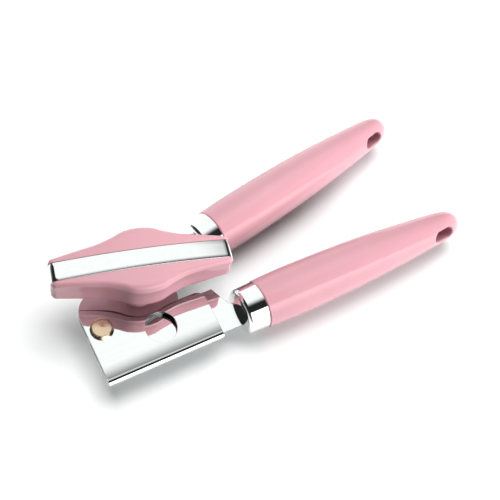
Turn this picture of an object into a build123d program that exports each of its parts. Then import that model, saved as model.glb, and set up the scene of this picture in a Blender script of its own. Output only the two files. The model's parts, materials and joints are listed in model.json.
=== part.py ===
from build123d import *
from math import atan2, cos, degrees, hypot, pi, radians, sin, sqrt
import os

# Manual can opener of the nutcracker kind: two handled arms on one rivet, a butterfly knob that
# turns the feed gear on the back arm, and a free cutting wheel on the front arm.
# Working frame: the arm pivot is at X = Y = 0, the front arm lies along +X, and Z = 0 is the top
# face of the front arm's upper sheet. Millimetres. At the end everything is moved so that the
# origin is the centre of the bottom of the bounding box.

# ---- sheet metal ----
SHEET = 1.5                 # thickness of the folded front arm
FOLD_GAP = 2.5              # free height between its two sheets
BACK_SHEET = 1.9            # thickness of the back arm, which slides in that gap
HEAD_LEFT = -7.5            # left edge of the folded head
HEAD_RIGHT = 53.0           # right edge of the upper sheet
HEAD_BACK = -0.6            # back edge of the upper sheet
FOLD_Y = -24.0              # line where the flat sheets run into the fold
HEAD_CORNER = 4.5           # radius of the upper sheet's back right corner
EAR_AT = (4.2, 8.2)         # the rounded ear behind the pivot
EAR_RADIUS = EAR_AT[0] - HEAD_LEFT
EAR_BLEND = 5.0             # rounding where the ear meets the back edge
WINDOW_AT = (26.3, -10.4)   # round window in the upper sheet, above the cutting wheel's stud
WINDOW_RADIUS = 7.85
STRIP_END = 58.8            # where the lower sheet steps in to the tang
STRIP_STEP = 5.0            # length of that step
STRIP_LAP = 8.0             # how far the strip is drawn back into the head
TANG_WIDTH = 13.0
TANG_END = 116.0            # how far the tangs reach into the handles
TANG_TIP = 7.0              # tang width at its end
TANG_TAPER = 22.0           # length over which it narrows
HUB_END = 7.0               # radius of the back arm's end round the rivet
LOBE_RADIUS = 15.0          # its broad part round the knob's shaft
LOBE_CORNER = (40.2, -9.6)  # corner of the part that slides between the sheets
LOBE_CORNER_RADIUS = 5.0
LOBE_NECK_RADIUS = 3.0
BUSH_SEAT = 5.0             # radius of the bushing's hole

# ---- arms and handles ----
OPEN_ANGLE = 11.4           # how far the back arm stands open, degrees
FRONT_OFFSET = -18.0        # handle axis from the pivot, each in its own arm's frame
BACK_OFFSET = 12.0
AXIS_Z = -3.8               # height of both handle axes
HANDLE_SWING = 0.3          # both handles lean this much towards +Y, degrees
FERRULE_START = 64.7
GRIP_START = 76.8
GRIP_LENGTH = 125.8
GRIP_PROFILE = [            # distance from the grip's start, radius
    (1.2, 12.6), (14.0, 13.05), (32.0, 13.05), (50.0, 12.7), (68.0, 11.95),
    (86.0, 10.75), (100.0, 9.6), (111.0, 8.55), (118.5, 7.4), (123.6, 5.1),
]
GRIP_LIP = 11.9             # radius of the grip's front face, before its rounded lip
FERRULE_RADIUS = 12.3
FERRULE_NOSE = 11.9         # radius at the front, before the rounded rim
NOSE_SAG = 1.2              # the front bulges by this much
NOSE_WALL = 1.2
FERRULE_WALL = 0.8
FERRULE_RIM = 2.4           # rounding of the front rim
NECK_RADIUS = 11.2          # spigot of the grip inside the ferrule
NECK_CHAMFER = 1.2
HANG_FROM_TIP = 14.2        # middle of the hanging slot, which runs across the handle
HANG_TILT = 30.0            # its front mouth looks up by this angle
HANG_LENGTH = 12.0
HANG_HEIGHT = 6.4
HANG_ROUNDING = 0.9
PIN_X = 71.0
PIN_RADIUS = 1.5
PIN_SUNK = 0.7              # its ends lie this far below the neck's surface
SLIP = 0.05                 # clearance round pieces that are pushed together

# ---- knob ----
KNOB_AT = (29.2, 10.0)      # in the back arm's own frame
KNOB_TURN = -14.2           # direction of the knob's long axis as it stands
KNOB_LOW = 10.3
KNOB_TOP = 27.4             # crown of the arched top
KNOB_ARCH = 3.0             # the ends are this much lower
KNOB_HALF = 43.2
KNOB_END_ROUND = 5.0
KNOB_EDGE = 1.0             # rounding along the top edges
KNOB_WIDTHS = [(0.0, 16.4), (7.0, 15.3), (12.5, 12.5), (20.0, 10.3), (30.0, 8.8), (40.2, 7.4)]
KNOB_CORNER = 2.4           # how far the end corners come in from the last width
KNOB_WALL = 2.4
BORE_RADIUS = 5.5           # blind bore of the hub, which holds the insert
BORE_TOP = 16.5
SCREW_RADIUS = 2.0
SCREW_LOW = 8.0
SCREW_SEAT = 22.5           # underside of the screw's head, which the band hides
SCREW_HEAD = 4.0
SCREW_HEAD_HEIGHT = 2.5
SCREW_SLOT = 0.9
POCKET_TOP = 19.0
HUB_RADIUS = 8.0
HUB_LOW = 1.1
BASE_THICKNESS = 1.8
BAND_WIDTH = 9.4
BAND_THICKNESS = 0.9
BAND_LOW = 14.5             # how far down the ends the band wraps

# ---- feed gear, shaft and cutting wheel ----
SHAFT_RADIUS = 3.0
SHAFT_FLATS = 4.6           # distance across the flats that drive the gear and the knob
SHAFT_TOP = 16.3
SHAFT_SHOULDER = -5.7       # where the shaft's lower flats and the gear's boss begin
STEM_RADIUS = 2.5           # threaded end below the gear
SHAFT_END = -17.0
RUNNING = 0.05              # radial clearance of the turning fits
GEAR_TEETH = 22
GEAR_TIP = 10.0
GEAR_ROOT = 8.9
GEAR_BOSS = 6.0
GEAR_TOOTH = [              # radius and place within one tooth's step, from its middle
    (GEAR_ROOT, -0.42), (GEAR_ROOT, -0.3), (GEAR_TIP, -0.1), (GEAR_TIP, 0.1), (GEAR_ROOT, 0.3),
]
GEAR_TOP = -8.8
GEAR_LOW = -13.0
CUTTER_RADIUS = 11.4
CUTTER_TOP = -6.3
CUTTER_BLADE = 1.7
CUTTER_BEVEL = 3.2
CUTTER_HUB = 5.6
CUTTER_LOW = -9.7
STUD_RADIUS = 3.0
STUD_HEAD = 4.6
STUD_HEAD_HEIGHT = 1.9
HEAD_ROUNDING = 1.2         # rounding of the stud's head and of the rivet's tail
RIVET_SHANK = 4.0
RIVET_TOP_RADIUS = 4.65
RIVET_BASE_RADIUS = 5.7
RIVET_HEIGHT = 2.5
RIVET_EDGE = 0.4
RIVET_TAIL = 5.4
RIVET_TAIL_HEIGHT = 1.8

# ---- washers, bushing and nut ----
PIVOT_WASHER = 0.8
PIVOT_WASHER_RADIUS = 6.4
BUSH_FLANGE = 7.5
THRUST_TOP = -4.9
THRUST_LOW = -5.6
THRUST_RADIUS = 6.8
SPRING_LOW = 0.1
SPRING_TOP = 0.8
SPRING_RADIUS = 6.4
GEAR_WASHER_LOW = -13.8
GEAR_WASHER_RADIUS = 5.0
NUT_LOW = -16.5
NUT_FLAT = 4.0
CUTTER_WASHER_RADIUS = 6.2

LOWER_TOP = -SHEET - FOLD_GAP
LOWER_LOW = LOWER_TOP - SHEET
BACK_TOP = -SHEET - (FOLD_GAP - BACK_SHEET) / 2
BACK_LOW = BACK_TOP - BACK_SHEET
UP = (Align.CENTER, Align.CENTER, Align.MIN)
PIVOT = (0.0, 0.0)

parts = {}


def disc(radius, low, high, at=PIVOT):
    return Pos(at[0], at[1], low) * Cylinder(radius, high - low, align=UP)


def ring(outer, inner, low, high, at=PIVOT):
    return disc(outer, low, high, at) - disc(inner, low - 1, high + 1, at)


def slab(sketch, low, high):
    return extrude(Pos(0, 0, low) * sketch, high - low, dir=(0, 0, 1))


def area(x0, x1, y0, y1):
    return Pos((x0 + x1) / 2, (y0 + y1) / 2) * Rectangle(x1 - x0, y1 - y0)


def outline(*points):
    return make_face(Polyline(*points, close=True))


def round_inner_corner(sketch, corner, radius):
    """Round the one vertex of a sketch that is nearest to corner."""
    target = Vector(*corner)
    vertex = min(sketch.vertices(), key=lambda v: (Vector(v.X, v.Y) - target).length)
    return fillet(vertex, radius)


def turned(section, offset):
    """Revolve a section drawn as (distance along the arm, radius) about a handle's axis."""
    solid = revolve(Plane.XZ * section, Axis.X, 360)
    return Pos(0, offset, AXIS_Z) * solid


def opened(shape):
    """Take a shape from the back arm's own frame to where the back arm stands."""
    return Rot(0, 0, OPEN_ANGLE) * shape


def knob_place():
    at = Vector(*KNOB_AT).rotate(Axis.Z, OPEN_ANGLE)
    return (at.X, at.Y)


# ---- front arm: one folded stamping with its tang ----
def head_outline():
    head = area(HEAD_LEFT, HEAD_RIGHT, FOLD_Y, HEAD_BACK)
    head = round_inner_corner(head, (HEAD_RIGHT, HEAD_BACK), HEAD_CORNER)
    head += area(HEAD_LEFT, EAR_AT[0], HEAD_BACK - 1, EAR_AT[1])
    head += Pos(*EAR_AT) * Circle(EAR_RADIUS)
    corner = EAR_AT[0] + sqrt(EAR_RADIUS ** 2 - (EAR_AT[1] - HEAD_BACK) ** 2)
    return round_inner_corner(head, (corner, HEAD_BACK), EAR_BLEND)


def along_handle(shape, offset):
    """Give what belongs to a handle its slight lean, about the front of its ferrule."""
    front = Pos(FERRULE_START, offset)
    return front * Rot(0, 0, HANDLE_SWING) * front.inverse() * shape


def tang_outline(offset, shoulder):
    """The strip that carries on from a head at shoulder and narrows inside the handle."""
    half = TANG_WIDTH / 2
    taper = TANG_END - TANG_TAPER
    return outline(
        (shoulder, offset - half), (taper, offset - half), (TANG_END, offset - TANG_TIP / 2),
        (TANG_END, offset + TANG_TIP / 2), (taper, offset + half), (shoulder, offset + half),
    )


def front_arm():
    upper = head_outline() - Pos(*WINDOW_AT) * Circle(WINDOW_RADIUS)
    strip_start = HEAD_RIGHT - STRIP_LAP
    tang_low = FRONT_OFFSET - TANG_WIDTH / 2
    tang_high = FRONT_OFFSET + TANG_WIDTH / 2
    step_end = STRIP_END + STRIP_STEP
    strip = outline(
        (strip_start, FOLD_Y), (step_end - 1, FOLD_Y), (step_end, tang_low),
        (step_end, tang_high), (STRIP_END, HEAD_BACK), (strip_start, HEAD_BACK),
    )
    lower = head_outline() + strip + along_handle(tang_outline(FRONT_OFFSET, STRIP_END + 2), FRONT_OFFSET)
    bend_radius = SHEET + FOLD_GAP / 2
    bend = Circle(bend_radius) - Circle(FOLD_GAP / 2)
    bend &= area(-bend_radius, 0, -bend_radius, bend_radius)
    fold = extrude(Plane.YZ * bend, HEAD_RIGHT - HEAD_LEFT)
    arm = slab(upper, -SHEET, 0) + slab(lower, LOWER_LOW, LOWER_TOP)
    arm += Pos(HEAD_LEFT, FOLD_Y, -bend_radius) * fold
    arm -= disc(RIVET_SHANK, LOWER_LOW - 1, 1)
    return arm - along_handle(pin_hole(FRONT_OFFSET), FRONT_OFFSET)


# ---- back arm: one flat stamping with its tang ----
def back_arm():
    tang_low = BACK_OFFSET - TANG_WIDTH / 2
    drop = KNOB_AT[1] - tang_low
    neck = (KNOB_AT[0] + sqrt(LOBE_RADIUS ** 2 - drop ** 2), tang_low)
    web = outline((0, -HUB_END), LOBE_CORNER, neck, KNOB_AT, (0, HUB_END))
    web = round_inner_corner(web, LOBE_CORNER, LOBE_CORNER_RADIUS)
    blank = Circle(HUB_END) + web + Pos(*KNOB_AT) * Circle(LOBE_RADIUS)
    blank += along_handle(tang_outline(BACK_OFFSET, KNOB_AT[0]), BACK_OFFSET)
    blank = round_inner_corner(blank, neck, LOBE_NECK_RADIUS)
    plate = slab(blank, BACK_LOW, BACK_TOP)
    plate -= disc(RIVET_SHANK + RUNNING, BACK_LOW - 1, BACK_TOP + 1)
    plate -= disc(BUSH_SEAT, BACK_LOW - 1, BACK_TOP + 1, KNOB_AT)
    return plate - along_handle(pin_hole(BACK_OFFSET), BACK_OFFSET)


# ---- handles, each drawn along X; along_handle then leans them ----
def pin_hole(offset):
    return Pos(PIN_X, offset, AXIS_Z) * Cylinder(PIN_RADIUS + SLIP / 2, 4 * NECK_RADIUS)


def tang_pin(offset):
    return Pos(PIN_X, offset, AXIS_Z) * Cylinder(PIN_RADIUS, 2 * (NECK_RADIUS - PIN_SUNK))


def tang_slot(side, low, high):
    """The slot that a tang fills, a slip clearance larger all round."""
    grown = offset(tang_outline(side, FERRULE_START - 1), SLIP, kind=Kind.INTERSECTION)
    return slab(grown, low - SLIP, high + SLIP)


def ferrule(side, low, high):
    inner = FERRULE_RADIUS - FERRULE_WALL
    rim_x = FERRULE_START + NOSE_SAG
    rim_y = FERRULE_NOSE - FERRULE_RIM
    middle = FERRULE_RIM * sin(pi / 4)
    wall_x = rim_x + NOSE_WALL
    edges = ThreePointArc((FERRULE_START, 0), (FERRULE_START + NOSE_SAG / 4, rim_y / 2), (rim_x, rim_y))
    edges += ThreePointArc(
        (rim_x, rim_y), (rim_x + FERRULE_RIM - middle, rim_y + middle), (rim_x + FERRULE_RIM, FERRULE_NOSE)
    )
    edges += Polyline(
        (rim_x + FERRULE_RIM, FERRULE_NOSE), (GRIP_START, FERRULE_RADIUS), (GRIP_START, inner),
        (wall_x + NECK_CHAMFER, inner), (wall_x, inner - NECK_CHAMFER), (wall_x, 0), (FERRULE_START, 0),
    )
    return turned(make_face(edges), side) - tang_slot(side, low, high)


def is_mouth(edge, hang_x):
    point = edge.position_at(0.3)
    inside_length = abs(point.X - hang_x) < HANG_LENGTH / 2 + 0.01
    inside_height = abs(point.Z - AXIS_Z) < HANG_HEIGHT / 2 + 0.01
    return inside_length and inside_height and edge.geom_type != GeomType.LINE


def grip(side, low, high):
    points = [(GRIP_START + x, r) for x, r in GRIP_PROFILE]
    tip = (GRIP_START + GRIP_LENGTH, 0)
    face = GRIP_START + SLIP
    neck = FERRULE_START + NOSE_SAG + NOSE_WALL + SLIP
    chamfer_start = NECK_RADIUS - NECK_CHAMFER
    edges = Polyline(
        (neck, 0), (neck, chamfer_start), (neck + NECK_CHAMFER, NECK_RADIUS),
        (face, NECK_RADIUS), (face, GRIP_LIP),
    )
    edges += ThreePointArc((face, GRIP_LIP), (face + 0.3, GRIP_LIP + 0.45), points[0])
    edges += Spline(*points, tip, tangents=[(1, 0.04), (0, -1)])
    edges += Line(tip, (neck, 0))
    solid = turned(make_face(edges), side)
    hang_x = tip[0] - HANG_FROM_TIP
    slot = extrude(Plane.XZ * SlotOverall(HANG_LENGTH, HANG_HEIGHT), 2 * NECK_RADIUS, both=True)
    solid -= Pos(hang_x, side, AXIS_Z) * slot
    solid = fillet([e for e in solid.edges() if is_mouth(e, hang_x)], HANG_ROUNDING)
    axis = Pos(0, side, AXIS_Z)
    solid = axis * Rot(-HANG_TILT, 0, 0) * axis.inverse() * solid
    return solid - tang_slot(side, low, high) - pin_hole(side)


# ---- knob, drawn with its long axis along X and its own axis at the origin ----
def knob_outline(inset=0.0):
    half = KNOB_HALF - inset
    upper = [(x * half / KNOB_HALF, w - inset) for x, w in KNOB_WIDTHS]
    crest = [(-x, w) for x, w in reversed(upper[1:])] + upper
    left, right = crest[0], crest[-1]
    end_y = right[1] - KNOB_CORNER
    edge = Spline(*crest)
    for side, crest_end in ((1, right), (-1, left)):
        edge += ThreePointArc(crest_end, (side * (half - 0.7), end_y + 1.4), (side * half, end_y))
        edge += Line((side * half, end_y), (side * half, 0))
    return make_face(edge + mirror(edge, Plane.XZ))


def knob_side(inset=0.0, low=KNOB_LOW):
    """Side view of the knob: flat below, arched above, with rounded ends, as an X-Z face."""
    half = KNOB_HALF - inset
    crown = KNOB_TOP - inset
    shoulder = crown - KNOB_ARCH
    bend = KNOB_END_ROUND - inset
    arch_start = shoulder + 2 * KNOB_ARCH / half * bend
    lean = bend * (1 - cos(pi / 4))
    edges = Polyline((-half, shoulder - bend), (-half, low), (half, low), (half, shoulder - bend))
    edges += ThreePointArc((bend - half, arch_start), (0, crown), (half - bend, arch_start))
    for side in (-1, 1):
        edges += ThreePointArc(
            (side * half, shoulder - bend), (side * (half - lean), shoulder - lean + 0.2),
            (side * (half - bend), arch_start),
        )
    return make_face(edges)


def across(face, width):
    """Extrude an X-Z face to both sides of the X axis."""
    return extrude(Plane.XZ * face, width / 2, both=True)


def band_strip(width, thickness, low):
    """The bent strip of a given width that lies flush in the knob's top and reaches down its ends to low."""
    strip = across(knob_side(), width) - across(knob_side(thickness, 0), width + 2)
    return strip - slab(area(-2 * KNOB_HALF, 2 * KNOB_HALF, -width, width), 0, low)


def knob_band():
    return band_strip(BAND_WIDTH, BAND_THICKNESS, BAND_LOW)


def knob_body():
    body = slab(knob_outline(), KNOB_LOW, KNOB_TOP + 1) & across(knob_side(), 4 * BAND_WIDTH)
    middle = (KNOB_LOW + POCKET_TOP) / 2
    body = fillet([e for e in body.edges() if e.center().Z > middle + 1], KNOB_EDGE)
    body -= slab(knob_outline(KNOB_WALL), KNOB_LOW - 1, POCKET_TOP)
    body += disc(HUB_RADIUS, HUB_LOW, POCKET_TOP + 1)
    body -= band_strip(BAND_WIDTH + 2 * SLIP, BAND_THICKNESS + SLIP, BAND_LOW - SLIP)
    body -= disc(BORE_RADIUS, HUB_LOW - 1, BORE_TOP)
    body -= disc(SCREW_RADIUS + 0.2, BORE_TOP - 1, KNOB_TOP)
    return body - disc(SCREW_HEAD + 0.2, SCREW_SEAT - 0.1, KNOB_TOP)


def knob_base():
    plate = slab(knob_outline(KNOB_WALL + SLIP), KNOB_LOW, KNOB_LOW + BASE_THICKNESS)
    return plate - disc(HUB_RADIUS + SLIP, 0, KNOB_TOP)


def flats(low, high, clearance=0.0):
    """A bar with the shaft's round and its two driving flats."""
    width = 2 * (SHAFT_RADIUS + clearance)
    bar = disc(SHAFT_RADIUS + clearance, low, high)
    return bar & slab(Rectangle(width, SHAFT_FLATS + 2 * clearance), low, high)


def knob_insert():
    return disc(BORE_RADIUS - SLIP, HUB_LOW, BORE_TOP - 0.1) - flats(HUB_LOW - 1, BORE_TOP + 1, SLIP)


def knob_screw():
    top = SCREW_SEAT + SCREW_HEAD_HEIGHT
    screw = disc(SCREW_HEAD, SCREW_SEAT, top) + disc(SCREW_RADIUS, SCREW_LOW, SCREW_SEAT)
    for width, height in ((SCREW_SLOT, 2 * SCREW_HEAD + 1), (2 * SCREW_HEAD + 1, SCREW_SLOT)):
        screw -= slab(Rectangle(width, height), top - SCREW_SLOT, top + 1)
    return screw


def drive_shaft():
    shaft = flats(HUB_LOW, SHAFT_TOP) + disc(SHAFT_RADIUS, SHAFT_SHOULDER, HUB_LOW)
    shaft += flats(GEAR_LOW, SHAFT_SHOULDER) + disc(STEM_RADIUS, SHAFT_END, GEAR_LOW)
    return shaft - disc(SCREW_RADIUS + SLIP / 2, SCREW_LOW - 0.2, SHAFT_TOP + 1)


def feed_gear():
    step = 360 / GEAR_TEETH
    points = []
    for tooth in range(GEAR_TEETH):
        for radius, share in GEAR_TOOTH:
            angle = radians(step * (tooth + share))
            points.append((radius * cos(angle), radius * sin(angle)))
    wheel = slab(outline(*points), GEAR_LOW, GEAR_TOP) + disc(GEAR_BOSS, GEAR_TOP, SHAFT_SHOULDER)
    return wheel - flats(GEAR_LOW - 1, 0, SLIP)


def shaft_nut():
    nut = slab(RegularPolygon(NUT_FLAT, 6, major_radius=False), NUT_LOW, GEAR_WASHER_LOW - SLIP)
    return nut - disc(STEM_RADIUS + SLIP / 2, SHAFT_END - 1, GEAR_LOW)


def cutting_wheel():
    blade = Cylinder(CUTTER_RADIUS, CUTTER_BLADE, align=(Align.CENTER, Align.CENTER, Align.MAX))
    rim = blade.edges().group_by(Axis.Z)[0]
    blade = Pos(0, 0, CUTTER_TOP) * chamfer(rim, length=CUTTER_BLADE - 0.1, length2=CUTTER_BEVEL)
    wheel = blade + disc(CUTTER_HUB, CUTTER_LOW, CUTTER_TOP)
    return Pos(*WINDOW_AT, 0) * (wheel - disc(STUD_RADIUS + RUNNING, CUTTER_LOW - 1, 0))


def cutter_stud():
    head = disc(STUD_HEAD, CUTTER_LOW - STUD_HEAD_HEIGHT, CUTTER_LOW - 0.1)
    head = fillet(head.edges().group_by(Axis.Z)[0], HEAD_ROUNDING)
    return Pos(*WINDOW_AT, 0) * (head + disc(STUD_RADIUS, CUTTER_LOW - 0.2, LOWER_LOW))


def pivot_rivet():
    head = Pos(0, 0, RIVET_HEIGHT / 2) * Cone(RIVET_BASE_RADIUS, RIVET_TOP_RADIUS, RIVET_HEIGHT)
    head = fillet(head.edges().group_by(Axis.Z)[-1], RIVET_EDGE)
    tail_top = LOWER_LOW - PIVOT_WASHER
    tail = disc(RIVET_TAIL, tail_top - RIVET_TAIL_HEIGHT, tail_top)
    tail = fillet(tail.edges().group_by(Axis.Z)[0], HEAD_ROUNDING)
    return head + tail + disc(RIVET_SHANK - SLIP / 2, LOWER_LOW - 1, 0.5)


def shaft_bushing():
    bush = disc(BUSH_SEAT - SLIP / 2, BACK_LOW - 0.5, 0, KNOB_AT)
    bush += disc(BUSH_FLANGE, THRUST_TOP, BACK_LOW, KNOB_AT)
    return bush - disc(SHAFT_RADIUS + RUNNING, THRUST_TOP - 1, 1, KNOB_AT)


def place_on_knob(shape):
    at = knob_place()
    return Pos(at[0], at[1], 0) * Rot(0, 0, KNOB_TURN) * shape


def build_arm(name, side, low, high, place):
    """The ferrule, grip and pin of one handle."""
    parts[name + "_ferrule"] = place(along_handle(ferrule(side, low, high), side))
    parts[name + "_handle"] = place(along_handle(grip(side, low, high), side))
    parts[name + "_tang_pin"] = place(along_handle(tang_pin(side), side))


def build():
    parts["front_arm"] = front_arm()
    build_arm("front", FRONT_OFFSET, LOWER_LOW, LOWER_TOP, lambda shape: shape)
    parts["back_arm"] = opened(back_arm())
    build_arm("back", BACK_OFFSET, BACK_LOW, BACK_TOP, opened)
    parts["pivot_rivet"] = pivot_rivet()
    parts["pivot_washer"] = ring(PIVOT_WASHER_RADIUS, RIVET_SHANK, LOWER_LOW - PIVOT_WASHER, LOWER_LOW)
    parts["shaft_bushing"] = opened(shaft_bushing())
    washer_bore = SHAFT_RADIUS + 0.15
    parts["thrust_washer"] = opened(ring(THRUST_RADIUS, washer_bore, THRUST_LOW, THRUST_TOP, KNOB_AT))
    parts["spring_washer"] = opened(ring(SPRING_RADIUS, washer_bore, SPRING_LOW, SPRING_TOP, KNOB_AT))
    on_knob = (knob_body, knob_base, knob_band, knob_insert, knob_screw, drive_shaft, feed_gear, shaft_nut)
    for piece in on_knob:
        parts[piece.__name__] = place_on_knob(piece())
    parts["gear_washer"] = place_on_knob(
        ring(GEAR_WASHER_RADIUS, STEM_RADIUS + SLIP, GEAR_WASHER_LOW, GEAR_LOW - SLIP)
    )
    parts["cutting_wheel"] = cutting_wheel()
    parts["cutter_stud"] = cutter_stud()
    parts["cutter_washer"] = ring(
        CUTTER_WASHER_RADIUS, STUD_RADIUS + SLIP, CUTTER_TOP + 0.1, LOWER_LOW, WINDOW_AT
    )


def write():
    box = Compound(children=[Part() + shape for shape in parts.values()]).bounding_box()
    centre = box.center()
    move = Pos(-centre.X, -centre.Y, -box.min.Z)
    print("size", box.size)
    print("pivot at", -centre.X, -centre.Y, -box.min.Z)
    os.makedirs("parts", exist_ok=True)
    for name, shape in parts.items():
        export_step(move * shape, f"parts/{name}.step")


build()
write()
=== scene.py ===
"""Looks of the manual can opener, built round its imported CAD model. Everything is in metres."""

import json
from math import cos, pi, radians, sin, sqrt

import bmesh
import bpy
from mathutils import Matrix, Vector


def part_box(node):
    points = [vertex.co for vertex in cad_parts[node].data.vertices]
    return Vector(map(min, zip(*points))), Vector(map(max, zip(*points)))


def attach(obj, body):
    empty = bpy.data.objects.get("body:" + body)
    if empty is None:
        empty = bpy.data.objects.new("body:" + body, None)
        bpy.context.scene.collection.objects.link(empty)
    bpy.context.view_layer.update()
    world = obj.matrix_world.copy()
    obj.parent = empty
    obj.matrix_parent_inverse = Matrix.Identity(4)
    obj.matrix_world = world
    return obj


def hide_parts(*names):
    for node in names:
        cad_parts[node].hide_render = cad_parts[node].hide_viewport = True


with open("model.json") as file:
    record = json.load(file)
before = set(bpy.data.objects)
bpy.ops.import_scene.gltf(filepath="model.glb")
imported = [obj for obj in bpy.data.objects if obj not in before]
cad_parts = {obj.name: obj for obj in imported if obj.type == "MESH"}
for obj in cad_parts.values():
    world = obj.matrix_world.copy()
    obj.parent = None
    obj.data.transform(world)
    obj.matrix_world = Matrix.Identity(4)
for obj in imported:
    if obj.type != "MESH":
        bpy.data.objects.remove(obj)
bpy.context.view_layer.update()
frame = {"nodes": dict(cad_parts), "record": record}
MM = 0.001

# ---- places taken from the frame ----
RIVET_LOW, RIVET_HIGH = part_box("pivot_rivet")
PIVOT = Vector(((RIVET_LOW.x + RIVET_HIGH.x) / 2, (RIVET_LOW.y + RIVET_HIGH.y) / 2, 0))
ARM_LOW, ARM_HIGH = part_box("front_arm")
SHAFT_LOW, SHAFT_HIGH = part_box("drive_shaft")
KNOB_AXIS = (SHAFT_LOW + SHAFT_HIGH) / 2
SHEET_TOP = ARM_HIGH.z


# ---- camera ----
# Where it looks, from the pivot. The height is the middle of the sheet metal.
CAMERA_TARGET = PIVOT + Vector((85.886, 9.567, 17.0)) * MM
CAMERA_DISTANCE = 0.44983
CAMERA_AZIMUTH = radians(-46.454)      # direction of the image's right before the roll
CAMERA_ELEVATION = radians(61.371)
CAMERA_ROLL = radians(21.015)
CAMERA_LENS = 63.12
SENSOR_WIDTH = 36


def add_camera():
    ahead = Vector((-sin(CAMERA_AZIMUTH), cos(CAMERA_AZIMUTH), 0)) * cos(CAMERA_ELEVATION)
    ahead.z = -sin(CAMERA_ELEVATION)
    level = Vector((cos(CAMERA_AZIMUTH), sin(CAMERA_AZIMUTH), 0))
    above = level.cross(ahead)
    right = level * cos(CAMERA_ROLL) + above * sin(CAMERA_ROLL)
    up = above * cos(CAMERA_ROLL) - level * sin(CAMERA_ROLL)
    data = bpy.data.cameras.new("camera")
    data.lens = CAMERA_LENS
    data.sensor_width = SENSOR_WIDTH
    data.clip_start = 0.01
    camera = bpy.data.objects.new("camera", data)
    turn = Matrix((right, up, -ahead)).transposed().to_4x4()
    camera.matrix_world = Matrix.Translation(CAMERA_TARGET - ahead * CAMERA_DISTANCE) @ turn
    bpy.context.scene.collection.objects.link(camera)
    bpy.context.scene.camera = camera


# ---- node helpers ----
def new_material(name):
    material = bpy.data.materials.new(name)
    material.use_nodes = True
    nodes = material.node_tree.nodes
    return material, nodes, material.node_tree.links, nodes["Principled BSDF"]


def noise(nodes, links, scale, detail=2.0, stretch=(1, 1, 1)):
    """Noise in object coordinates, stretched along the axes given."""
    place = nodes.new("ShaderNodeTexCoord")
    mapping = nodes.new("ShaderNodeMapping")
    mapping.inputs["Scale"].default_value = stretch
    texture = nodes.new("ShaderNodeTexNoise")
    texture.inputs["Scale"].default_value = scale
    texture.inputs["Detail"].default_value = detail
    links.new(place.outputs["Object"], mapping.inputs["Vector"])
    links.new(mapping.outputs["Vector"], texture.inputs["Vector"])
    return texture.outputs["Fac"]


def spread(nodes, links, source, low, high):
    """Map a 0 to 1 value, whose middle half holds most of a noise, to low to high."""
    span = nodes.new("ShaderNodeMapRange")
    span.inputs["From Min"].default_value = 0.3
    span.inputs["From Max"].default_value = 0.7
    span.inputs["To Min"].default_value = low
    span.inputs["To Max"].default_value = high
    links.new(source, span.inputs["Value"])
    return span.outputs["Result"]


def tint(nodes, links, source, dark, light):
    ramp = nodes.new("ShaderNodeValToRGB")
    ramp.color_ramp.elements[0].position = 0.3
    ramp.color_ramp.elements[0].color = (*dark, 1)
    ramp.color_ramp.elements[1].position = 0.7
    ramp.color_ramp.elements[1].color = (*light, 1)
    links.new(source, ramp.inputs["Fac"])
    return ramp.outputs["Color"]


def bump(nodes, links, source, shader, strength, distance):
    node = nodes.new("ShaderNodeBump")
    node.inputs["Strength"].default_value = strength
    node.inputs["Distance"].default_value = distance
    links.new(source, node.inputs["Height"])
    links.new(node.outputs["Normal"], shader.inputs["Normal"])


# ---- materials ----
PINK = (0.46, 0.238, 0.270)
PINK_DEEP = (0.45, 0.231, 0.263)
PLASTIC_ROUGH = (0.10, 0.14)
PLASTIC_IOR = 1.5


def pink_plastic():
    material, nodes, links, shader = new_material("pink_plastic")
    cloudy = noise(nodes, links, 60.0)
    links.new(tint(nodes, links, cloudy, PINK_DEEP, PINK), shader.inputs["Base Color"])
    grain = noise(nodes, links, 900.0, 3.0)
    links.new(spread(nodes, links, grain, *PLASTIC_ROUGH), shader.inputs["Roughness"])
    bump(nodes, links, noise(nodes, links, 420.0, 1.0), shader, 0.12, 0.00002)
    shader.inputs["IOR"].default_value = PLASTIC_IOR
    return material


def metal(name, dark, light, rough, grain_scale, stretch, relief):
    """A metal whose colour, roughness and fine relief follow the same drawn-out grain."""
    material, nodes, links, shader = new_material(name)
    grain = noise(nodes, links, grain_scale, 4.0, stretch)
    links.new(tint(nodes, links, grain, dark, light), shader.inputs["Base Color"])
    links.new(spread(nodes, links, grain, rough[0], rough[1]), shader.inputs["Roughness"])
    bump(nodes, links, grain, shader, relief, 0.00001)
    shader.inputs["Metallic"].default_value = 1.0
    return material


# dark and light colour, least and most roughness, size and stretch of the grain, strength of its relief
METALS = {
    "polished_steel": ((0.90, 0.915, 0.91), (0.93, 0.94, 0.93), (0.03, 0.06), 500.0, (0.15, 1, 1), 0.015),
    "chrome_trim": ((0.90, 0.91, 0.91), (0.93, 0.935, 0.93), (0.02, 0.045), 300.0, (1, 1, 1), 0.02),
    "brass": ((0.66, 0.46, 0.30), (0.92, 0.76, 0.56), (0.16, 0.28), 2200.0, (1, 1, 1), 0.25),
    "tool_steel": ((0.38, 0.39, 0.40), (0.52, 0.53, 0.54), (0.22, 0.38), 700.0, (1, 1, 0.2), 0.3),
    "zinc_steel": ((0.55, 0.57, 0.58), (0.70, 0.71, 0.70), (0.25, 0.4), 500.0, (1, 1, 1), 0.25),
}
materials = {"pink_plastic": pink_plastic()}
for metal_name, values in METALS.items():
    materials[metal_name] = metal(metal_name, *values)


def dress(piece, slot):
    """Give every material slot of a piece one material."""
    slots = piece.data.materials
    for place in range(len(slots)):
        slots[place] = materials[slot]
    if not len(slots):
        slots.append(materials[slot])


# ---- mesh helpers ----
SHARP_ANGLE = radians(42)       # edges sharper than this aren't smoothed over


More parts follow.
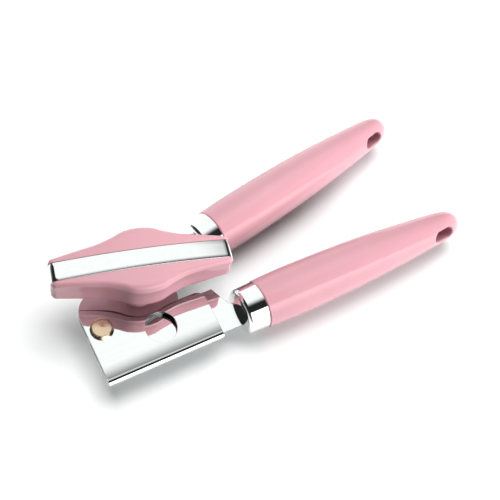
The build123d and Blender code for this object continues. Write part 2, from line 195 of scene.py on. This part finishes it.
def as_piece(name, verts, faces, body, slot, *nodes):
    """Make a smooth shaded piece that rides on a body and stands for CAD nodes."""
    mesh = bpy.data.meshes.new(name)
    mesh.from_pydata(verts, [], faces)
    mesh.validate()
    return as_ready(name, mesh, body, slot, *nodes)


def as_ready(name, mesh, body, slot, *nodes):
    """The same for a mesh that is already made."""
    shape = bmesh.new()
    shape.from_mesh(mesh)
    bmesh.ops.recalc_face_normals(shape, faces=shape.faces)
    shape.to_mesh(mesh)
    shape.free()
    mesh.shade_smooth()
    mesh.set_sharp_from_angle(angle=SHARP_ANGLE)
    piece = bpy.data.objects.new(name, mesh)
    bpy.context.scene.collection.objects.link(piece)
    dress(piece, slot)
    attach(piece, body)
    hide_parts(*nodes)
    return piece


class Skin:
    """Vertices and faces that grow as grids and loops are added."""

    def __init__(self):
        self.verts = []
        self.faces = []

    def row(self, points):
        start = len(self.verts)
        self.verts.extend(points)
        return list(range(start, len(self.verts)))

    def strip(self, first, second, closed=False):
        count = len(first)
        for place in range(count if closed else count - 1):
            after = (place + 1) % count
            self.faces.append((first[place], first[after], second[after], second[place]))

    def grid(self, rows):
        """Join rows of points, and return the ids round the grid's border."""
        ids = [self.row(points) for points in rows]
        for first, second in zip(ids, ids[1:]):
            self.strip(first, second)
        return ids[0] + [r[-1] for r in ids[1:-1]] + ids[-1][::-1] + [r[0] for r in ids[-2:0:-1]]

    def turned(self, profile, segments=96):
        """Turn a profile of (radius, height) about Z. Its ends lie on the axis."""
        rings = []
        for radius, height in profile[1:-1]:
            angles = [2 * pi * k / segments for k in range(segments)]
            rings.append(self.row([(radius * cos(a), radius * sin(a), height) for a in angles]))
        for first, second in zip(rings, rings[1:]):
            self.strip(first, second, closed=True)
        for end, ring in ((profile[0], rings[0]), (profile[-1], rings[-1])):
            tip = self.row([(0.0, 0.0, end[1])])[0]
            for place in range(segments):
                self.faces.append((tip, ring[place], ring[(place + 1) % segments]))


def smooth_height(points, x):
    """Height at x of the smooth curve through points, which run from low x to high x."""
    last = len(points) - 1
    place = max(k for k in range(last) if points[k][0] <= x or k == 0)
    before, start = points[max(place - 1, 0)], points[place]
    end, after = points[place + 1], points[min(place + 2, last)]
    span = end[0] - start[0]
    share = (x - start[0]) / span
    start_slope = (end[1] - before[1]) / (end[0] - before[0]) * span
    end_slope = (after[1] - start[1]) / (after[0] - start[0]) * span
    square, cube = share ** 2, share ** 3
    return (
        (2 * cube - 3 * square + 1) * start[1] + (cube - 2 * square + share) * start_slope
        + (3 * square - 2 * cube) * end[1] + (cube - square) * end_slope
    )


def arc_steps(count):
    """Angles from 0 to a right angle."""
    return [pi / 2 * k / count for k in range(count + 1)]


# ---- knob, in millimetres, with its long axis along X and its own axis at the origin ----
KNOB_TURN = radians(-14.2)
BODY_LOW, BODY_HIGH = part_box("knob_body")
KNOB_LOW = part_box("knob_base")[0].z / MM
KNOB_TOP = BODY_HIGH.z / MM
HUB_LOW = BODY_LOW.z / MM
HUB_RADIUS = 8.0
HUB_CHAMFER = 0.5
KNOB_HALF = 43.2
KNOB_ARCH = 3.0                 # how much lower the top is at the ends
KNOB_WIDTHS = [                 # distance from the axis along the knob, half width there
    (-7, 16.0), (0, 16.9), (7, 16.0), (12.5, 13.5), (20, 10.9), (30, 9.1), (40.2, 7.5), (43.2, 7.1),
]
END_ROUND = 2.8
CORNER_ROUND = 2.4
SIDE_ROUND = (2.0, 1.4)         # rounding of the long edges at the ends, and what is added in the middle
BAND_HALF = 4.7
BAND_GAP = 0.14
BAND_DEPTH = 0.9                # depth of the groove that the band lies in
BAND_LOW = 31.5                 # height of the band's two lower ends
WALL_SCOOP = 0.55               # how far the side walls curve in
WALL_LEVELS = (0.12, 0.26, 0.40, 0.52, 0.535, 0.7, 0.85, 0.95, 1.0)
GROOVE_END = 0.53               # share of the way down where the groove stops
BOTTOM_BREAK = 0.35
RIM = 2.4
POCKET_TOP = 36.0


def knob_width(x):
    """Half of the knob's width at x, with its rounded end corners."""
    reach = abs(x)
    width = smooth_height(KNOB_WIDTHS, reach)
    into_corner = reach - (KNOB_HALF - CORNER_ROUND)
    if into_corner > 0:
        width -= CORNER_ROUND - sqrt(max(CORNER_ROUND ** 2 - into_corner ** 2, 0))
    return width


def knob_crown(x):
    return KNOB_TOP - KNOB_ARCH * (x / KNOB_HALF) ** 2


def knob_columns():
    flat = KNOB_HALF - END_ROUND
    rounding = [KNOB_HALF - END_ROUND * (1 - cos(a)) for a in arc_steps(9)]
    count = 62
    middle = [flat - 2 * flat * k / count for k in range(1, count)]
    return [-x for x in rounding] + [-x for x in middle] + rounding[::-1]


def end_drop(x):
    inside = max(abs(x) - (KNOB_HALF - END_ROUND), 0)
    return END_ROUND - sqrt(max(END_ROUND ** 2 - inside ** 2, 0))


def top_row(x):
    """One row of the knob's top across its width at x, rounded at both edges and sunk under the band."""
    width = knob_width(x)
    wanted = SIDE_ROUND[0] + SIDE_ROUND[1] / (1 + (x / 17.0) ** 4)
    rounding = max(min(wanted, width - BAND_HALF - BAND_GAP - 0.02), 0.02)
    side = [(width - rounding * (1 - cos(a)), wanted * (1 - sin(a))) for a in arc_steps(8)]
    inner, outer = BAND_HALF + BAND_GAP, side[-1][0]
    side += [(outer + (inner - outer) * k / 4, 0.0) for k in range(1, 5)]
    fall = end_drop(x)
    lean = fall and (abs(x) - (KNOB_HALF - END_ROUND)) / END_ROUND
    points = []
    for y, drop in side:
        points.append((x, y, knob_crown(x) - (drop ** 3 + fall ** 3) ** (1 / 3)))
    sunk_x = x - BAND_DEPTH * lean if x > 0 else x + BAND_DEPTH * lean
    sunk_z = knob_crown(x) - fall - BAND_DEPTH * sqrt(1 - min(lean, 1) ** 2)
    for y in (inner - 0.03, 2.0):
        points.append((sunk_x, y, sunk_z))
    return points + [(px, -py, pz) for px, py, pz in reversed(points)]


def knob_outline(rows):
    """Points round the top's border, each with whether it is in the groove and which end it is on."""
    ends = []
    for points, end in ((rows[0], -1), (rows[-1], 1)):
        in_groove = BAND_HALF + BAND_GAP - 0.01
        ends.append([(end * KNOB_HALF, y, z, abs(y) < in_groove, end) for x, y, z in points])
    high = [(*points[-1], False, 0) for points in rows[1:-1]]
    low = [(*points[0], False, 0) for points in rows[1:-1]]
    return ends[0] + high + ends[1][::-1] + low[::-1]


def knob_body():
    """The shell: arched top with its groove, side walls, pocket and the hub in the middle of it."""
    columns = knob_columns()
    rows = [top_row(x) for x in columns]
    across = len(rows[0])
    skin = Skin()
    previous = skin.grid(rows)
    outline = knob_outline(rows)
    for share in WALL_LEVELS:
        bottom = BOTTOM_BREAK if share == 1.0 else 0
        loop = []
        for x, y, z, sunk, end in outline:
            height = z + (KNOB_LOW - z) * share
            if end:
                depth = BAND_DEPTH if sunk and share < GROOVE_END else 0
                loop.append((x - end * (depth + bottom), y, height))
            else:
                inward = WALL_SCOOP * sin(pi * min(share / 0.95, 1)) + bottom
                loop.append((x, y - inward if y > 0 else y + inward, height))
        ids = skin.row(loop)
        skin.strip(previous, ids, closed=True)
        previous = ids
    inner = []
    for row_x in columns:
        x = row_x * (KNOB_HALF - RIM) / KNOB_HALF
        half = knob_width(row_x) - RIM
        inner.append([(x, half * (1 - 2 * k / (across - 1)), POCKET_TOP) for k in range(across)])
    pocket = skin.grid(inner)
    rim = skin.row([(skin.verts[k][0], skin.verts[k][1], KNOB_LOW) for k in pocket])
    skin.strip(previous, rim, closed=True)
    skin.strip(rim, pocket, closed=True)
    skin.turned([(0, HUB_LOW), (HUB_RADIUS - HUB_CHAMFER, HUB_LOW), (HUB_RADIUS, HUB_LOW + HUB_CHAMFER),
                 (HUB_RADIUS, POCKET_TOP + 1), (0, POCKET_TOP + 1)])
    return on_knob("knob_shell", skin, "pink_plastic", "knob_body")


def on_knob(name, skin, slot, *nodes):
    """Scale a knob piece to metres, turn it as the knob stands and hand it over."""
    place = Matrix.Translation((KNOB_AXIS.x, KNOB_AXIS.y, 0)) @ Matrix.Rotation(KNOB_TURN, 4, "Z")
    verts = [place @ (Vector(v) * MM) for v in skin.verts]
    return as_piece(name, verts, skin.faces, "knob", slot, *nodes)


def band_path():
    """Points and outward directions along the band, seen from the side, from its left end to its right."""
    shoulder = knob_crown(KNOB_HALF) - END_ROUND
    path = [((-KNOB_HALF, shoulder + (BAND_LOW - shoulder) * (1 - k / 4)), (-1.0, 0.0)) for k in range(4)]
    for x in knob_columns():
        lean = max(abs(x) - (KNOB_HALF - END_ROUND), 0) / END_ROUND * (1 if x > 0 else -1)
        slope = 2 * KNOB_ARCH * x / KNOB_HALF ** 2
        outward = Vector((lean + slope * (1 - abs(lean)), sqrt(max(1 - lean ** 2, 0)))).normalized()
        path.append(((x, knob_crown(x) - end_drop(x)), tuple(outward)))
    right = [((-x, z), (-nx, nz)) for (x, z), (nx, nz) in path[:4]]
    return path + right[::-1]


def knob_band():
    """The inlaid band: one section, with rounded edges and a slight crown, carried along its path."""
    section = [
        (-BAND_HALF, -0.8), (-BAND_HALF, -0.25), (-BAND_HALF + 0.06, -0.09), (-BAND_HALF + 0.22, 0.0),
        (-2.4, 0.05), (0.0, 0.07), (2.4, 0.05),
        (BAND_HALF - 0.22, 0.0), (BAND_HALF - 0.06, -0.09), (BAND_HALF, -0.25), (BAND_HALF, -0.8),
    ]
    skin = Skin()
    rings = []
    for (x, z), (nx, nz) in band_path():
        rings.append(skin.row([(x + nx * rise, y, z + nz * rise) for y, rise in section]))
    for first, second in zip(rings, rings[1:]):
        skin.strip(first, second, closed=True)
    skin.faces.append(tuple(rings[0]))
    skin.faces.append(tuple(rings[-1][::-1]))
    return on_knob("knob_trim", skin, "chrome_trim", "knob_band")


# ---- stamped arms: the CAD shapes with fine broken edges ----
EDGE_BREAK = 0.00016
CORNER_ANGLE = radians(30)      # an edge that turns more than this is broken
FOLD_LINE = ARM_LOW.y + 0.00275
FOLD_SPREAD = 0.008             # the upper sheet starts to bend this far from the fold
FOLD_DIP = 0.0007               # and drops this much there
FOLD_STEPS = 12


def fine_edges(name, node, body, bend=False):
    shape = bmesh.new()
    shape.from_mesh(frame["nodes"][node].data)
    bmesh.ops.remove_doubles(shape, verts=shape.verts, dist=1e-6)
    bmesh.ops.dissolve_limit(shape, angle_limit=radians(0.5), verts=shape.verts, edges=shape.edges)
    corners = [e for e in shape.edges if e.is_manifold and e.calc_face_angle(0) > CORNER_ANGLE]
    bmesh.ops.bevel(shape, geom=corners, offset=EDGE_BREAK, segments=2, profile=0.5, affect="EDGES")
    if bend:
        for step in range(FOLD_STEPS + 1):
            everything = shape.verts[:] + shape.edges[:] + shape.faces[:]
            cut = (0, FOLD_LINE + FOLD_SPREAD * step / FOLD_STEPS, 0)
            bmesh.ops.bisect_plane(shape, geom=everything, plane_co=cut, plane_no=(0, 1, 0))
        middle = (ARM_LOW.z + ARM_HIGH.z) / 2
        for vert in shape.verts:
            part = min(max((FOLD_LINE + FOLD_SPREAD - vert.co.y) / FOLD_SPREAD, 0), 1)
            height = max((vert.co.z - middle) / (ARM_HIGH.z - middle), 0)
            vert.co.z -= FOLD_DIP * part ** 2 * height
    bmesh.ops.triangulate(shape, faces=[f for f in shape.faces if len(f.verts) > 4])
    mesh = bpy.data.meshes.new(name)
    shape.to_mesh(mesh)
    shape.free()
    if "custom_normal" in mesh.attributes:
        mesh.attributes.remove(mesh.attributes["custom_normal"])
    mesh.materials.clear()
    piece = as_ready(name, mesh, body, "polished_steel", node)
    even = piece.modifiers.new("even_normals", "WEIGHTED_NORMAL")
    even.keep_sharp = True
    return piece


# ---- pivot rivet, in millimetres, with its axis at the origin ----
HEAD_BASE, HEAD_TOP, HEAD_HEIGHT = 5.7, 4.6, 2.5
SHANK_RADIUS = 4.0


def pivot_rivet():
    """A flat head with a rounded edge and a tiny nub, the shank, and the formed tail below."""
    sheet = SHEET_TOP / MM
    top = sheet + HEAD_HEIGHT
    tail_low, tail_high = RIVET_LOW.z / MM, ARM_LOW.z / MM - 0.8
    tail = [(0, tail_low), (4.2, tail_low), (4.9, tail_low + 0.35), (5.3, tail_low + 0.9), (5.4, tail_high)]
    shank = [(SHANK_RADIUS, tail_high), (SHANK_RADIUS, sheet)]
    head = [(HEAD_BASE, sheet), (HEAD_BASE + 0.05, sheet + 0.12), (HEAD_TOP + 0.28, top - 0.5)]
    edge = [(HEAD_TOP - 0.12 + 0.4 * cos(a), top - 0.4 + 0.38 * sin(a)) for a in arc_steps(6)]
    nub = [(3.0, top + 0.02), (0.6, top + 0.02), (0.4, top + 0.05), (0, top + 0.07)]
    skin = Skin()
    skin.turned(tail + shank + head + edge + nub)
    verts = [Vector(v) * MM + PIVOT for v in skin.verts]
    return as_piece("rivet", verts, skin.faces, "front", "brass", "pivot_rivet")


# ---- studio ----
FLOOR_SIZE = 3.0
FLOOR_GREYS = ((0.70, 0.70, 0.70), (0.72, 0.72, 0.72))
FLOOR_GLOW = 0.035              # keeps the shadows a little cool and not too deep
EVEN_LIGHT = 0.06
BACKDROP_LIGHT = 0.95
SOFTBOXES = [                   # name, place, width, height, watts
    ("far_softbox", (0.3, 0.6, 1.4), 1.4, 1.3, 46),
    ("near_softbox", (1.3, -1.15, 0.3), 0.9, 0.5, 66),
]


def add_floor():
    mesh = bpy.data.meshes.new("floor")
    half = FLOOR_SIZE / 2
    corners = [(-half, -half, 0), (half, -half, 0), (half, half, 0), (-half, half, 0)]
    mesh.from_pydata(corners, [], [(0, 1, 2, 3)])
    floor = bpy.data.objects.new("floor", mesh)
    bpy.context.scene.collection.objects.link(floor)
    material, nodes, links, shader = new_material("floor_white")
    links.new(tint(nodes, links, noise(nodes, links, 3.0), *FLOOR_GREYS), shader.inputs["Base Color"])
    shader.inputs["Roughness"].default_value = 1.0
    shader.inputs["Specular IOR Level"].default_value = 0.0
    shader.inputs["Emission Color"].default_value = (0.6, 1.0, 0.96, 1)
    shader.inputs["Emission Strength"].default_value = FLOOR_GLOW
    floor.data.materials.append(material)


def fade(nodes, links, value, start, end, low=0.0, high=1.0):
    """Smooth change from low to high as value goes from start to end."""
    step = nodes.new("ShaderNodeMapRange")
    step.interpolation_type = "SMOOTHSTEP"
    turned_over = start > end
    step.inputs["From Min"].default_value = end if turned_over else start
    step.inputs["From Max"].default_value = start if turned_over else end
    step.inputs["To Min"].default_value = high if turned_over else low
    step.inputs["To Max"].default_value = low if turned_over else high
    links.new(value, step.inputs["Value"])
    return step.outputs["Result"]


def combine(nodes, links, operation, *values):
    total = values[0]
    for value in values[1:]:
        step = nodes.new("ShaderNodeMath")
        step.operation = operation
        links.new(total, step.inputs[0])
        links.new(value, step.inputs[1])
        total = step.outputs["Value"]
    return total


def add_world():
    """Even white light for matt surfaces, a pale backdrop behind the object, and for polished surfaces
    two softboxes in a dark studio to mirror: a far one high behind the object, a near one low in front."""
    world = bpy.data.worlds.new("studio")
    bpy.context.scene.world = world
    world.use_nodes = True
    nodes, links = world.node_tree.nodes, world.node_tree.links
    place = nodes.new("ShaderNodeTexCoord")
    split = nodes.new("ShaderNodeSeparateXYZ")
    links.new(place.outputs["Generated"], split.inputs["Vector"])
    x, y, z = split.outputs["X"], split.outputs["Y"], split.outputs["Z"]
    far = combine(
        nodes, links, "MULTIPLY",
        fade(nodes, links, x, -0.26, -0.18),
        fade(nodes, links, x, 0.70, 0.42),
        fade(nodes, links, y, -0.20, 0.26, 0.0, 1.06),
    )
    near = combine(
        nodes, links, "MULTIPLY",
        fade(nodes, links, y, -0.60, -0.68),
        fade(nodes, links, x, -0.5, 0.0),
        fade(nodes, links, z, 0.0, 0.62, 0.8, 3.4),
    )
    room = fade(nodes, links, z, 0.45, 0.0, 0.02, 0.3)
    mirrored = nodes["Background"]
    mirrored.inputs["Color"].default_value = (0.97, 1.0, 0.995, 1)
    links.new(combine(nodes, links, "ADD", far, near, room), mirrored.inputs["Strength"])
    even = nodes.new("ShaderNodeBackground")
    even.inputs["Color"].default_value = (1, 1, 1, 1)
    even.inputs["Strength"].default_value = EVEN_LIGHT
    path = nodes.new("ShaderNodeLightPath")
    mix = nodes.new("ShaderNodeMixShader")
    links.new(path.outputs["Is Glossy Ray"], mix.inputs["Fac"])
    links.new(even.outputs["Background"], mix.inputs[1])
    links.new(mirrored.outputs["Background"], mix.inputs[2])
    backdrop = nodes.new("ShaderNodeBackground")
    backdrop.inputs["Color"].default_value = (1, 1, 1, 1)
    backdrop.inputs["Strength"].default_value = BACKDROP_LIGHT
    seen = nodes.new("ShaderNodeMixShader")
    links.new(path.outputs["Is Camera Ray"], seen.inputs["Fac"])
    links.new(mix.outputs["Shader"], seen.inputs[1])
    links.new(backdrop.outputs["Background"], seen.inputs[2])
    links.new(seen.outputs["Shader"], nodes["World Output"].inputs["Surface"])


def add_softbox(name, place, width, height, power):
    data = bpy.data.lights.new(name, "AREA")
    data.shape = "RECTANGLE"
    data.size = width
    data.size_y = height
    data.energy = power
    lamp = bpy.data.objects.new(name, data)
    lamp.location = place
    lamp.rotation_euler = (-Vector(place)).to_track_quat("-Z", "Y").to_euler()
    lamp.visible_glossy = False
    bpy.context.scene.collection.objects.link(lamp)


add_camera()
add_floor()
add_world()
for softbox in SOFTBOXES:
    add_softbox(*softbox)
bpy.context.scene.view_settings.view_transform = "Standard"

for entry in frame["record"]["subparts"]:
    dress(frame["nodes"][entry["node"]], entry["material_slot"])

knob_body()
knob_band()
fine_edges("front_stamping", "front_arm", "front", bend=True)
fine_edges("back_stamping", "back_arm", "back")
pivot_rivet()
